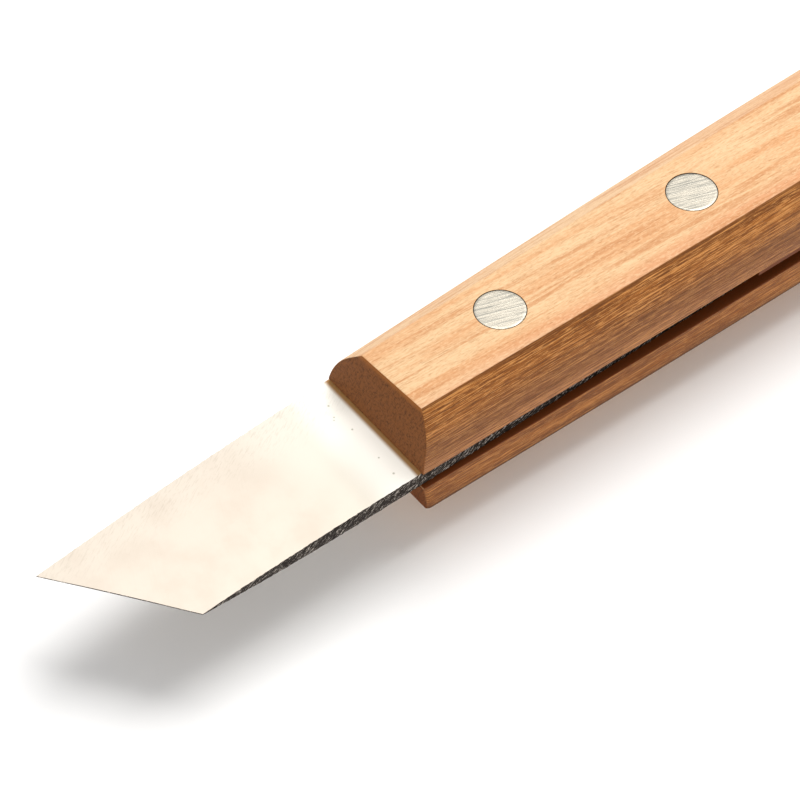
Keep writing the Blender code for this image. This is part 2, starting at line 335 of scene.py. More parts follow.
class NodeSheet:
    """One material and the nodes that draw it, with the place that its patterns start from."""

    def __init__(self, name: str, origin: Vector) -> None:
        """Starts a material with nothing but its output."""
        self.origin = origin
        self.material = bpy.data.materials.new(name)
        self.material.use_nodes = True
        self.tree = self.material.node_tree
        self.tree.nodes.clear()
        self.output = self.tree.nodes.new("ShaderNodeOutputMaterial")

    def node(self, kind: str, settings: dict[str, Any], inputs: dict[Union[int, str], Any]) -> Placed:
        """Adds a node: its settings first, then the values or links of its sockets.

        Args:
            kind: The node's type.
            settings: Its own settings, such as a Math node's operation.
            inputs: For each socket a number, a tuple, a socket or a Field.

        Returns:
            The node.
        """
        made = self.tree.nodes.new(kind)
        for name, value in settings.items():
            setattr(made, name, value)
        for key, value in inputs.items():
            socket = made.inputs[key]
            if isinstance(value, Field):
                self.tree.links.new(value.socket, socket)
            elif isinstance(value, bpy.types.NodeSocket):
                self.tree.links.new(value, socket)
            else:
                socket.default_value = value
        return Placed(self, made)

    def place(self, centre: Vector, turned: Triple = LEVEL, stretch: Triple = (1, 1, 1)) -> Any:
        """Gives Object coordinates in millimetres from a centre, turned and then stretched.

        Args:
            centre: The pattern's centre in metres.
            turned: Its turn about each axis in degrees.
            stretch: How many pattern units make a millimetre along each turned axis.

        Returns:
            A vector socket.
        """
        here = self.node("ShaderNodeTexCoord", {}, {}).out("Object")
        start = {"Vector": here, "Location": tuple(-c / MM for c in centre), "Scale": (1 / MM,) * 3}
        moved = self.node("ShaderNodeMapping", {"vector_type": "POINT"}, start).out()
        radians = tuple(math.radians(-degrees) for degrees in turned)
        if any(radians):
            moved = self.node("ShaderNodeMapping", {}, {"Vector": moved, "Rotation": radians}).out()
        if tuple(stretch) != (1, 1, 1):
            moved = self.node("ShaderNodeMapping", {}, {"Vector": moved, "Scale": tuple(stretch)}).out()
        return moved

    def axes(self, vector: Any) -> tuple[Field, Field, Field]:
        """Splits a vector into three fields."""
        split = self.node("ShaderNodeSeparateXYZ", {}, {"Vector": vector})
        return split.field(0), split.field(1), split.field(2)

    def length(self, vector: Any) -> Field:
        """Gives a vector's length."""
        return self.node("ShaderNodeVectorMath", {"operation": "LENGTH"}, {0: vector}).field("Value")

    def facing(self) -> tuple[Field, Field, Field]:
        """Gives the surface's own direction, along each axis."""
        return self.axes(self.node("ShaderNodeNewGeometry", {}, {}).out("Normal"))

    def noise(
        self, turned: Triple, stretch: Triple, detail: float, rough: float = 0.55, bend: float = 0.0
    ) -> Field:
        """Adds cloudy noise.

        Args:
            turned: Its turn about each axis in degrees.
            stretch: How many lumps it has to a millimetre along each turned axis.
            detail: How many finer layers it has.
            rough: How strong they are.
            bend: How far it is distorted.

        Returns:
            The noise, mostly 0.25 to 0.75.
        """
        where = self.place(self.origin, turned, stretch)
        inputs = {"Vector": where, "Scale": 1.0, "Detail": detail, "Roughness": rough, "Distortion": bend}
        return self.node("ShaderNodeTexNoise", {}, inputs).field(0)

    def blend(self, share: Union[Field, float], low: Any, high: Any, how: str = "MIX") -> Any:
        """Mixes two colours by a share of the second.

        Args:
            share: The share, held to 0..1.
            low: The first colour, as numbers or a socket.
            high: The second colour.
            how: The Mix node's blend type.

        Returns:
            A colour socket.
        """
        as_colour = [(*c, 1.0) if isinstance(c, tuple) else c for c in (low, high)]
        inputs = {0: share, 6: as_colour[0], 7: as_colour[1]}
        settings = {"data_type": "RGBA", "blend_type": how, "clamp_factor": True}
        return self.node("ShaderNodeMix", settings, inputs).out(2)

    def layers(self, base: Any, *coats: tuple[Union[Field, float], Any]) -> Any:
        """Lays coats of colour over a base, each as (share, colour), from the lowest up."""
        for share, colour in coats:
            base = self.blend(share, base, colour)
        return base

    def bump(self, height: Field, depth: float, under: Any = None) -> Any:
        """Turns a height into a bumped normal.

        Args:
            height: The height, where 1 is the full depth.
            depth: The depth in millimetres.
            under: A bumped normal to add it to.

        Returns:
            A normal socket.
        """
        inputs = {"Strength": 1.0, "Distance": depth * MM, "Height": height}
        if under is not None:
            inputs["Normal"] = under
        return self.node("ShaderNodeBump", {}, inputs).out()

    def finish(self, inputs: dict[str, Any]) -> bpy.types.Material:
        """Closes the sheet with a Principled shader.

        Args:
            inputs: The shader's sockets.

        Returns:
            The material.
        """
        shader = self.node("ShaderNodeBsdfPrincipled", {}, inputs).out()
        self.tree.links.new(shader, self.output.inputs["Surface"])
        return self.material


# ---------------------------------------------------------------------------------------------
# Finishes


@dataclass(frozen=True)
class FruitwoodFinish:
    """Sanded fruitwood: pale flats with rosy streaks, dense lines on the near side, dark ends, and painted
    shade on the inner faces by the tang and along the lower scale's foot.
    """

    name: str
    pale: Colour = (0.70, 0.475, 0.266)
    warm: Colour = (0.62, 0.30, 0.13)
    rosy: Colour = (0.62, 0.28, 0.155)
    streak: Colour = (0.52, 0.235, 0.095)
    light: Colour = (0.78, 0.53, 0.31)
    side_high: Colour = (0.39, 0.125, 0.018)
    side_low: Colour = (0.285, 0.099, 0.025)
    side_fade_colour: Colour = (0.47, 0.20, 0.085)
    side_line: Colour = (0.17, 0.054, 0.010)
    side_glint: Colour = (0.75, 0.335, 0.095)
    end: Colour = (0.255, 0.089, 0.024)
    speck_and_foot_shade: Colour = (0.085, 0.03, 0.008)
    end_rim: Colour = (0.44, 0.15, 0.03)
    recess_shade: Colour = (0.165, 0.04, 0.007)
    fade_start: float = 3.5
    fade_end: float = 0.5
    seat: float = 0.3
    seat_side: float = 1.0
    foot: float = NO_FOOT
    line_base: float = 4.0
    line_top: float = 8.0
    grain_turn: float = -2.5

    def make(self, origin: Vector) -> bpy.types.Material:
        """Draws the wood.

        Args:
            origin: The layout's zero in metres, from which the grain is placed.

        Returns:
            The material.
        """
        sheet = NodeSheet(self.name, origin)
        grain = (0.0, 0.0, self.grain_turn)
        _, y, z = sheet.axes(sheet.place(origin))
        face_x, face_y, _ = sheet.facing()
        end_mask = abs(face_x).rise(0.55, 0.8)
        side_mask = (-face_y).rise(0.45, 0.8)

        bands = sheet.noise(grain, (0.022, 0.42, 0.42), 3.0, 0.6, 0.4)
        streaks = sheet.noise(grain, (0.035, 0.95, 0.95), 4.0, 0.66, 0.5)
        fibres = sheet.noise(grain, (0.3, 5.0, 5.0), 3.0, 0.6)
        grains = sheet.noise(grain, (1.7, 5.5, 5.5), 2.0, 0.6)
        flecks = sheet.noise(grain, (0.9, 9.0, 9.0), 1.0, 0.5).rise(0.60, 0.74)
        near_band = y.rise(3.2, 0.6)
        flat = sheet.layers(
            self.pale,
            (bands.rise(0.42, 0.66) * 0.75, self.warm),
            (near_band * 0.45, self.rosy),
            (streaks.rise(0.50, 0.63) * 0.75, self.streak),
            (fibres.rise(0.45, 0.7) * 0.4, self.streak),
            (grains.rise(0.5, 0.34) * 0.4, self.light),
            (grains.rise(0.5, 0.72) * 0.35, self.streak),
            (flecks * 0.35, self.side_high),
        )

        lines = sheet.noise(LEVEL, (0.015, 0.15, 1.7), 3.0, 0.7, 0.1)
        threads = sheet.noise(LEVEL, (0.065, 0.6, 6.0), 3.0, 0.75, 0.1)
        dashes = sheet.noise(LEVEL, (0.5, 2.5, 8.0), 2.0, 0.7)
        upper = z.rise(self.line_base, self.line_top)
        corner = (z + 1.6 * threads).rise(self.line_top + 3.0, self.line_top + 3.6)
        side = sheet.layers(
            self.side_low,
            # The near side fades between two colours over a band of heights; on the lower scale this is
            # painted shade, darker towards the foot.
            (z.rise(self.fade_start, self.fade_end), self.side_fade_colour),
            (upper, self.side_high),
            (lines.rise(0.47, 0.60) * (0.45 + 0.2 * upper), self.side_line),
            (threads.rise(0.51, 0.57) * 0.85, self.side_line),
            (threads.rise(0.47, 0.38) * (0.5 + 0.35 * upper), self.side_glint),
            (dashes.rise(0.54, 0.62) * (0.45 + 0.3 * upper), self.side_glint),
            (dashes.rise(0.46, 0.37) * 0.7, self.side_line),
            (corner * 0.7, self.side_line),
            # Painted shade: a dark line along the foot, where the rounded lower edge turns under towards
            # the table.
            (z.rise(self.foot + 0.75, self.foot + 0.45) * 0.9, self.speck_and_foot_shade),
        )

        specks = sheet.noise(LEVEL, (2.7, 2.7, 2.7), 3.0, 0.75)
        rays = sheet.noise((20.0, 0.0, 0.0), (1.0, 5.0, 0.7), 2.0, 0.6)
        by_top = (z + 0.114 * y).rise(self.line_top + 2.1, self.line_top + 2.9)
        ends = sheet.layers(
            self.end,
            (specks.rise(0.46, 0.66) * 0.75, self.speck_and_foot_shade),
            (specks.rise(0.44, 0.32) * 0.8, self.side_low),
            (rays.rise(0.50, 0.66) * 0.5, self.side_low),
            (rays.rise(0.46, 0.34) * 0.45, self.speck_and_foot_shade),
            (by_top * 0.6, self.end_rim),
        )

        # Painted shade: the inner faces against the tang are darkened, as the recess around the tang lies
        # in shadow.
        seat_shade_mask = ((z - self.seat) * self.seat_side).rise(0.13, 0.04)
        colour = sheet.layers(flat, (side_mask, side), (end_mask, ends), (seat_shade_mask, self.recess_shade))
        height = fibres * 0.5 + (threads + dashes) * side_mask + specks * end_mask - flecks * 0.6
        rough = 0.46 + 0.14 * fibres + 0.2 * end_mask
        return sheet.finish(
            {
                "Base Color": colour,
                "Roughness": rough,
                "Normal": sheet.bump(height, 0.035),
                "Specular IOR Level": 0.15,
            }
        )


@dataclass(frozen=True)
class GroundSteelFinish:
    """Carbon steel: finely ground faces, and sides left rough from coarse grinding. The face carries
    painted light beside the wood and a painted reflection and shadow of the wood along its end.
    """

    name: str
    face: Colour = (0.425, 0.378, 0.322)
    stain: Colour = (0.405, 0.348, 0.29)
    bright: Colour = (0.455, 0.43, 0.375)
    painted_fill_light: Colour = (0.99, 0.97, 0.90)
    painted_wood_reflection_and_shadow: Colour = (0.28, 0.125, 0.015)
    scratched: Colour = (0.29, 0.25, 0.20)
    side: Colour = (0.022, 0.015, 0.011)
    side_fleck: Colour = (0.62, 0.56, 0.50)
    pit: Colour = (0.30, 0.29, 0.20)
    dish_reach: float = 7.5
    dish_rise: float = 0.85
    pits: tuple[Triple, ...] = (
        (-2.24, 13.62, 0.15),
        (-2.75, 12.0, 0.11),
        (-3.02, 11.67, 0.10),
        (-2.17, 9.45, 0.13),
        (-2.27, 4.61, 0.12),
        (-2.32, 1.92, 0.15),
    )

    def make(self, origin: Vector) -> bpy.types.Material:
        """Draws the steel.

        Args:
            origin: The layout's zero in metres.

        Returns:
            The material.
        """
        sheet = NodeSheet(self.name, origin)
        x, y, _ = sheet.axes(sheet.place(origin))
        _, _, face_z = sheet.facing()
        face_mask = abs(face_z).rise(0.45, 0.75)
        mottle = sheet.noise(LEVEL, (0.16, 0.16, 0.16), 4.0, 0.6)
        cloud = sheet.noise(LEVEL, (0.9, 0.9, 0.9), 3.0, 0.65)
        scratch = sheet.noise((0.0, 0.0, 27.0), (0.8, 5.5, 1.0), 3.0, 0.7)
        lay = sheet.noise((0.0, 0.0, 62.0), (0.10, 5.0, 1.0), 3.0, 0.6)
        far_band = y.rise(9.5, 15.5)
        # Painted light: the face is made much lighter beside the wood's end, standing in for the light that
        # the wood shades off the blade.
        painted_fill_mask = x.rise(-7.5, -0.7) * (1.0 - 0.45 * y.rise(9.0, 15.0)) * face_mask
        colour = sheet.layers(
            self.face,
            (mottle.rise(0.42, 0.68) * 0.55, self.stain),
            (cloud.rise(0.5, 0.75) * 0.25, self.stain),
            # Painted highlight: the face grows lighter towards the wood, standing in for the panel's
            # brighter reflection there.
            ((x + 0.25 * y + 3.0 * mottle).rise(-12.0, -2.5), self.bright),
            (painted_fill_mask, self.painted_fill_light),
            # Painted reflection and contact shadow: a thin brown line on the face right along the wood's
            # end.
            (x.rise(-0.78, -0.15) * 0.97, self.painted_wood_reflection_and_shadow),
            (scratch.rise(0.50, 0.64) * far_band * (0.36 - 0.32 * painted_fill_mask), self.scratched),
        )
        for pit_x, pit_y, radius in self.pits:
            place = Vector((pit_x, pit_y, 0.0)) * MM + origin
            spot = sheet.length(sheet.place(place, stretch=(1, 1, 0.2)))
            colour = sheet.blend(spot.rise(radius * 1.4, radius * 0.3) * 0.75, colour, self.pit)
        strokes = sheet.noise((0.0, -42.0, 0.0), (0.9, 1.0, 5.6), 3.0, 0.7, 0.5)
        grit = sheet.noise(LEVEL, (3.6, 1.0, 3.6), 2.0, 0.7)
        flecked = (strokes.rise(0.52, 0.61), self.side_fleck)
        sides = sheet.layers(self.side, flecked, (grit.rise(0.54, 0.44) * 0.85, self.side))
        relief = strokes * (1.0 - face_mask) + (lay * 0.05 + scratch * 0.05 * far_band) * face_mask
        reach = self.dish_reach
        dish = sheet.bump(((x + reach) * (1.0 / reach)).most(0.0) ** 2.0, self.dish_rise)
        return sheet.finish(
            {
                "Base Color": sheet.blend(face_mask, sides, colour),
                "Metallic": 0.9 - 0.5 * face_mask - 0.32 * painted_fill_mask,
                "Roughness": 0.62 - 0.20 * face_mask + 0.10 * mottle,
                "Normal": sheet.bump(relief, 0.08, dish),
            }
        )


@dataclass(frozen=True)
class BrushedAluminiumFinish:
    """Soft aluminium ground flush, with the belt's lines across it."""

    name: str
    bright: Colour = (0.465, 0.43, 0.362)
    line: Colour = (0.24, 0.235, 0.21)
    line_turn: float = -20.7

    def make(self, origin: Vector) -> bpy.types.Material:
        """Draws the rivet metal.

        Args:
            origin: The layout's zero in metres.

        Returns:
            The material.
        """
        sheet = NodeSheet(self.name, origin)
        turned = (0.0, 0.0, self.line_turn)
        lines = sheet.noise(turned, (0.14, 5.2, 1.0), 3.0, 0.75)
        fine = sheet.noise(turned, (0.3, 11.0, 1.0), 2.0, 0.6)
        lined = (lines.rise(0.49, 0.59) * 0.85, self.line)
        colour = sheet.layers(self.bright, lined, (fine.rise(0.5, 0.68) * 0.5, self.line))
        return sheet.finish(
            {
                "Base Color": colour,
                "Metallic": 1.0,
                "Roughness": 0.34 + 0.2 * lines,
                "Normal": sheet.bump(lines + 0.5 * fine, 0.02),
            }
        )


@dataclass(frozen=True)
class DarkStripFinish:
    """The spacer's dark, unfinished wood."""

    name: str
    body: Colour = (0.06, 0.022, 0.010)
    streak: Colour = (0.12, 0.045, 0.02)

    def make(self, origin: Vector) -> bpy.types.Material:
        """Draws the spacer.

        Args:
            origin: The layout's zero in metres.

        Returns:
            The material.
        """
        sheet = NodeSheet(self.name, origin)
        fibres = sheet.noise(LEVEL, (0.1, 3.0, 3.0), 3.0, 0.6)
        return sheet.finish(
            {
                "Base Color": sheet.blend(fibres.rise(0.4, 0.7), self.body, self.streak),
                "Roughness": 0.7 + 0.15 * fibres,
                "Normal": sheet.bump(fibres, 0.04),
            }
        )


@dataclass(frozen=True)
class TableFinish:
    """A plain matt white table top."""

    name: str
    pale: Colour = (0.93, 0.93, 0.93)
    shaded: Colour = (0.90, 0.90, 0.90)

    def make(self, origin: Vector) -> bpy.types.Material:
        """Draws the table.

        Args:
            origin: The layout's zero in metres.

        Returns:
            The material.
        """
        sheet = NodeSheet(self.name, origin)
        tooth = sheet.noise(LEVEL, (0.05, 0.05, 0.05), 2.0)
        colour = sheet.blend(tooth.rise(0.3, 0.7) * 0.3, self.pale, self.shaded)
        return sheet.finish({"Base Color": colour, "Roughness": 0.9, "Specular IOR Level": 0.1})


def dress(obj: bpy.types.Object, material: bpy.types.Material, node: str, sharp: float) -> None:
    """Gives a piece its smooth shading, its one material and its place in the frame.

    Args:
        obj: The piece.
        material: What it is made of.
        node: The frame's node that it stands for.
        sharp: The turn between two faces, in degrees, past which their edge stays sharp.
    """
    obj.data.shade_smooth()
    obj.data.set_sharp_from_angle(angle=math.radians(sharp))
    obj.data.materials.clear()
    obj.data.materials.append(material)
    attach(obj, BODY)
    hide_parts(node)
    LOG.info("%s: %d faces", obj.name, len(obj.data.polygons))


# ---------------------------------------------------------------------------------------------
# The layout and the pieces


@dataclass
class Layout:
    """Where the layout's zero lies, and the sizes that the frame's boxes give."""

    origin: Vector
    handle_length: float
    blade_width: float
    steel: float
    point_reach: float
    tang_length: float
    depth: float
    corner_height: float

    @classmethod
    def from_frame(cls) -> "Layout":
        """Reads the frame's boxes.

        Returns:
            The layout.
        """
        upper_low, upper_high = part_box("upper_scale")
        lower_low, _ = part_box("lower_scale")
        blade_low, blade_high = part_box("blade")
        origin = Vector((upper_low.x, blade_low.y, blade_high.z))
        return cls(
            origin=origin,
            handle_length=(upper_high.x - upper_low.x) / MM,
            blade_width=(blade_high.y - blade_low.y) / MM,
            steel=(blade_high.z - blade_low.z) / MM,
            point_reach=(origin.x - blade_low.x) / MM,
            tang_length=(blade_high.x - origin.x) / MM,
            depth=(origin.z - lower_low.z) / MM,
            corner_height=(upper_high.z - origin.z) / MM,
        )

    def centre_of(self, node: str) -> tuple[float, float]:
        """Gives the middle of a node's box in x and y, in layout millimetres."""
        low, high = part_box(node)
        middle = ((low + high) / 2 - self.origin) / MM
        return middle.x, middle.y


class Side(Enum):
    """Which scale of the handle a surface belongs to."""

    UPPER = "upper_scale"
    LOWER = "lower_scale"


@dataclass
class Handle:
    """The two scales, which are shaped together: one outline, widened along its length."""

    layout: Layout
    near_proud: float = 0.43
    far_proud: float = 0.1
    lean_start: float = 4.4
    lean_radius: float = 15.0
    far_shoulder: float = 5.28
    top_tilt: float = math.radians(6.5)
    far_slope: float = math.radians(51.0)
    far_radius: float = 15.0
    near_foot: float = 0.4
    far_foot: float = 4.0
    belly_at: float = 75.0
    near_flare: float = 1.0
    far_flare: float = 1.6
    butt_narrowing: float = 1.2
    butt_round: float = 5.0
    butt_inset: float = 2.6
    setback: float = 0.3
    rake: float = math.radians(12.0)
    gap: float = 0.3
    rebate: float = 0.65
    near_edge: float = 0.22
    far_edge_radius: float = 0.7
    seat_edge: float = 0.1
    far_seat_edge: float = 0.15
    rim: float = 0.16
    lower_rim: float = 0.6
    lower_rim_share: float = 0.35
    hole_radius: float = 3.06
    near_guide_step: int = 8
    far_guide_step: int = 16
    stations: int = 150
    finishes: dict[Side, FruitwoodFinish] = field(default_factory=dict)

    def seat(self, side: Side) -> float:
        """Gives the height of a scale's inner face where it meets the tang."""
        return self.gap if side is Side.UPPER else -self.layout.steel - self.gap

    def far_edge(self) -> float:
        """Gives the far side's widest y at the front of the handle."""
        return self.layout.blade_width + self.far_proud

    def top_at(self, y: Union[float, np.ndarray]) -> Union[float, np.ndarray]:
        """Gives the top face's height: the near corner's, less the way past it times the tilt's tangent."""
        lean = math.asin((self.layout.corner_height - self.lean_start) / self.lean_radius)
        corner_y = -self.near_proud + self.lean_radius * (1 - math.cos(lean))
        return self.layout.corner_height - (y - corner_y) * math.tan(self.top_tilt)

    def upper_outline(self, seat: float) -> np.ndarray:
        """Gives the upper scale's end outline, counter-clockwise with y to the right and z up: up
        the far side's arc and slope, back along the tilted top, down the leaning near side and
        along the inner face. A guide point a little way along each arc aims the fillet there.

        Args:
            seat: The inner face's height.

        Returns:
            The closed outline, shape (N, 2), as (y, z).
        """
        near, far = -self.near_proud, self.far_edge()
        lean = math.asin((self.layout.corner_height - self.lean_start) / self.lean_radius)
        lean_centre = (near + self.lean_radius, self.lean_start)
        near_side = turn(lean_centre, self.lean_radius, math.pi - lean, math.pi, 80)
        far_top = np.array([far - self.far_shoulder, self.top_at(far - self.far_shoulder)])
        slope_start = math.pi / 2 - self.far_slope
        bulge_y = far - self.far_radius
        curve_top_y = bulge_y + self.far_radius * math.cos(slope_start)
        curve_top_z = far_top[1] - (curve_top_y - far_top[0]) * math.tan(self.far_slope)
        bulge_z = curve_top_z - self.far_radius * math.sin(slope_start)
        seat_turn = math.asin((seat - bulge_z) / self.far_radius)
        far_side = turn((bulge_y, bulge_z), self.far_radius, seat_turn, slope_start, 90)
        near_foot = (near, seat)
        near_guide, far_guide = near_side[self.near_guide_step], far_side[self.far_guide_step]
        top_near = fillet(far_top, near_side[0], near_guide, self.near_edge)
        top_far = fillet(far_side[-1], far_top, near_side[0], self.far_edge_radius)
        seat_near = fillet(near_side[-1], near_foot, far_side[0], self.seat_edge)
        seat_far = fillet(near_foot, far_side[0], far_guide, self.far_seat_edge)
        side_on = near_side[near_side[:, 1] < top_near[-1][1] - 0.02]
        far_on = far_side[far_side[:, 1] > seat_far[-1][1] + 0.02]
        far_arc = respaced(np.concatenate([seat_far[-1:], far_on]), 36)
        side_arc = respaced(np.concatenate([top_near[-1:], side_on]), 30)
        parts = [
            far_arc,
            run(far_arc[-1], top_far[0], 12),
            top_far,
            run(top_far[-1], top_near[0], 60),
            top_near,
            side_arc,
            run(side_arc[-1], seat_near[0], 16),
            seat_near,
            run(seat_near[-1], seat_far[0], 40),
            seat_far,
        ]
        return joined(parts)

    def lower_outline(self, seat: float) -> np.ndarray:
        """Gives the lower scale's end outline in the same sense: up the far side, back along the
        inner face, down the near side, round the near foot, along the flat underside and round the
        far foot.

        Args:
            seat: The inner face's height.

        Returns:
            The closed outline, shape (N, 2), as (y, z).
        """
        near, far = -self.near_proud, self.far_edge()
        foot = -self.layout.depth
        foot_centre = (near + self.near_foot, foot + self.near_foot)
        near_foot = turn(foot_centre, self.near_foot, math.pi, 1.5 * math.pi, 12)
        far_centre = (far - self.far_foot, foot + self.far_foot)
        far_foot = turn(far_centre, self.far_foot, 1.5 * math.pi, 2 * math.pi, 24)
        seat_far = fillet(far_foot[-1], (far, seat), (near, seat), self.seat_edge)
        seat_near = fillet((far, seat), (near, seat), near_foot[0], self.seat_edge)
        parts = [
            run(far_foot[-1], seat_far[0], 6),
            seat_far,
            run(seat_far[-1], seat_near[0], 44),
            seat_near,
            run(seat_near[-1], near_foot[0], 22),
            near_foot,
            run(near_foot[-1], far_foot[0], 34),
            far_foot,
        ]
        return joined(parts)

    def swell(self, x: np.ndarray) -> np.ndarray:
        """Gives the share of the flare at x: a quarter sine up to the belly, then a parabola down."""
        past = np.clip((x - self.belly_at) / (self.layout.handle_length - self.belly_at), 0, 1)
        lost = self.butt_narrowing / (self.near_flare + self.far_flare)
        return np.sin(np.clip(x / self.belly_at, 0, 1) * np.pi / 2) - lost * past**2

    def loft(self, loops: np.ndarray, x: np.ndarray, inset: np.ndarray) -> np.ndarray:
        """Carries the outlines along the handle: each is drawn in along its own normal by an inset,
        widened by the flare in proportion to y, and shrunk towards the middle at the butt.

        Args:
            loops: One outline per station, shape (M, N, 2).
            x: Each station's place, shape (M,).
            inset: How far each point is drawn in, shape (M, N) or (M, 1).

        Returns:
            The rings, shape (M, N, 3).
        """
        near, far = -self.near_proud, self.far_edge()
        pulled = loops + inward(loops) * inset[..., None]
        y, z = pulled[..., 0], pulled[..., 1]
        share = (y - near) / (far - near)
        y = y + self.swell(x)[:, None] * (self.far_flare * share - self.near_flare * (1 - share))
        length = self.layout.handle_length
        along = np.clip((x - (length - self.butt_round)) / self.butt_round, 0, 1)
        drawn = self.butt_inset * (1 - np.sqrt(1 - along**2))
        top, foot = self.layout.corner_height, -self.layout.depth
        middle_y, middle_z = (near + far) / 2, (top + foot) / 2
        shrink_y = (1 - drawn / ((far - near) / 2))[:, None]
        shrink_z = (1 - drawn / ((top - foot) / 2))[:, None]
        y = middle_y + (y - middle_y) * shrink_y
        z = middle_z + (z - middle_z) * shrink_z
        return np.stack([np.broadcast_to(x[:, None], y.shape), y, z], axis=-1)

    def along(self, rim: float) -> tuple[np.ndarray, np.ndarray]:
        """Gives the stations along the handle and their insets: a small rounded rim at the front,
        x = rim * (1 - cos t) with the inset rim * (1 - sin t), then even steps and a rounded butt.

        Args:
            rim: The front rim's radius.

        Returns:
            The stations' x and the insets.
        """
        t = np.linspace(0, np.pi / 2, 5)
        length = self.layout.handle_length
        body = np.linspace(rim, length - self.butt_round, self.stations)[1:]
        butt = length - self.butt_round + self.butt_round * np.sin(np.linspace(0, np.pi / 2, 14))[1:]
        x = np.concatenate([rim * (1 - np.cos(t)), body, butt])
        inset = np.concatenate([rim * (1 - np.sin(t)), np.zeros(len(body) + len(butt))])
        return x, inset

    def build_upper(self) -> bpy.types.Object:
        """Builds the upper scale, whose inner face drops by the rebate's depth behind the tang.

        Returns:
            The piece.
        """
        x, inset = self.along(self.rim)
        step = self.layout.tang_length + self.gap
        split = int(np.searchsorted(x, step))
        x = np.concatenate([x[:split], [step, step], x[split:]])
        inset = np.concatenate([inset[:split], [0.0, 0.0], inset[split:]])
        seat = self.seat(Side.UPPER)
        ahead, behind = self.upper_outline(seat), self.upper_outline(seat - self.rebate)
        before_step = np.arange(len(x)) <= split
        loops = np.where(before_step[:, None, None], ahead, behind)
        rings = self.loft(loops, x, inset[:, None])
        return mesh_from_rings("shaped_upper_scale", rings, self.layout.origin)

    def build_lower(self) -> bpy.types.Object:
        """Builds the lower scale, whose front is set back and raked: x grows by the setback and by
        the depth under the inner face times the rake's tangent, fading to nothing at the butt.

        Returns:
            The piece.
        """
        x, inset = self.along(self.lower_rim)
        seat = self.seat(Side.LOWER)
        loop = self.lower_outline(seat)
        on_near_side = inward(loop)[:, 0].clip(0, 1) ** 2
        share = self.lower_rim_share + (1 - self.lower_rim_share) * on_near_side
        rings = self.loft(np.broadcast_to(loop, (len(x), *loop.shape)), x, inset[:, None] * share)
        fade = 1 - rings[..., 0] / self.layout.handle_length
        back = self.setback + (seat - rings[..., 2]) * math.tan(self.rake)
        rings[..., 0] += back * fade
        return mesh_from_rings("shaped_lower_scale", rings, self.layout.origin)

    def dress(self, side: Side, obj: bpy.types.Object) -> None:
        """Gives a scale its wood and its place in the frame.

        Args:
            side: Which scale.
            obj: The piece.
        """
        wood = self.finishes[side].make(self.layout.origin)
        dress(obj, wood, side.value, sharp=38.0)


@dataclass
class Blade:
    """The skew blade and its tang, convex ground on both faces and rough on its sides."""

    layout: Layout
    heel_reach: float = 30.9
    relief: float = 1.65
    relief_power: float = 1.3
    land: float = 0.16
    edge_depth: float = 0.7
    grind_power: float = 2.6
    side_chatter: float = 0.05
    clean_edge: float = 4.0
    hole_radius: float = 3.06
    columns: int = 84
    side_rows: int = 9
    stations: int = 330
    finish: GroundSteelFinish = GroundSteelFinish("ground_blade_steel")

    def far_y(self, x: np.ndarray) -> np.ndarray:
        """Gives the far edge: the width less the relief times a power of the way to the point."""
        ahead = np.clip(-x / self.layout.point_reach, 0, 1)
        return self.layout.blade_width - self.relief * ahead**self.relief_power

    def build(self) -> bpy.types.Object:
        """Builds the blade as rings from the cutting edge back to the tang's end. A ring crosses
        the upper face, drops down the far side, comes back under and climbs the near side. At share
        v across, x goes from the straight skew edge to the tang's end and y is v times the far
        edge. The thickness is the steel's less a power of the distance left from the cutting edge,
        and the upper face gives up only edge_depth / steel of what is ground away.

        Returns:
            The piece.
        """
        size = self.layout
        v = np.linspace(0, 1, self.columns)
        down = np.linspace(0, 1, self.side_rows + 2)[1:-1]
        across = np.concatenate([v, np.ones(len(down)), v[::-1], np.zeros(len(down))])
        height = np.concatenate([np.ones(len(v)), 1 - 2 * down, -np.ones(len(v)), 2 * down - 1])
        u = np.linspace(0, 1, self.stations)[:, None] ** 1.25
        point_y = float(self.far_y(np.array(-size.point_reach)))
        skew_x = -self.heel_reach - (size.point_reach - self.heel_reach) * across[None, :]
        x = skew_x + (size.tang_length - skew_x) * u
        y = across[None, :] * self.far_y(x)
        skew = Vector((self.heel_reach - size.point_reach, point_y)).normalized()
        distance = (x + self.heel_reach) * skew.y - y * skew.x
        full = self.heel_reach * skew.y
        left = np.clip(1 - distance / full, 0, 1) ** self.grind_power
        thickness = self.land + (size.steel - self.land) * (1 - left)
        middle = -size.steel / 2 + (0.5 - self.edge_depth / size.steel) * (size.steel - thickness)
        z = middle + height[None, :] * thickness / 2
        chatter = self.side_chatter * waves(x + 0.8 * z, (0.7, 1.1, 1.9, 3.3), 11)
        near_wall, far_wall = across[None, :] == 0, across[None, :] == 1
        room = np.clip(distance / self.clean_edge, 0, 1)
        y = y + near_wall * room * (chatter + self.side_chatter)
        y = y - far_wall * room * (chatter + self.side_chatter)
        return mesh_from_rings("ground_blade", np.stack([x, y, z], axis=-1), size.origin)

    def dress(self, obj: bpy.types.Object) -> None:
        """Gives the blade its steel and its place in the frame."""
        dress(obj, self.finish.make(self.layout.origin), "blade", sharp=30.0)


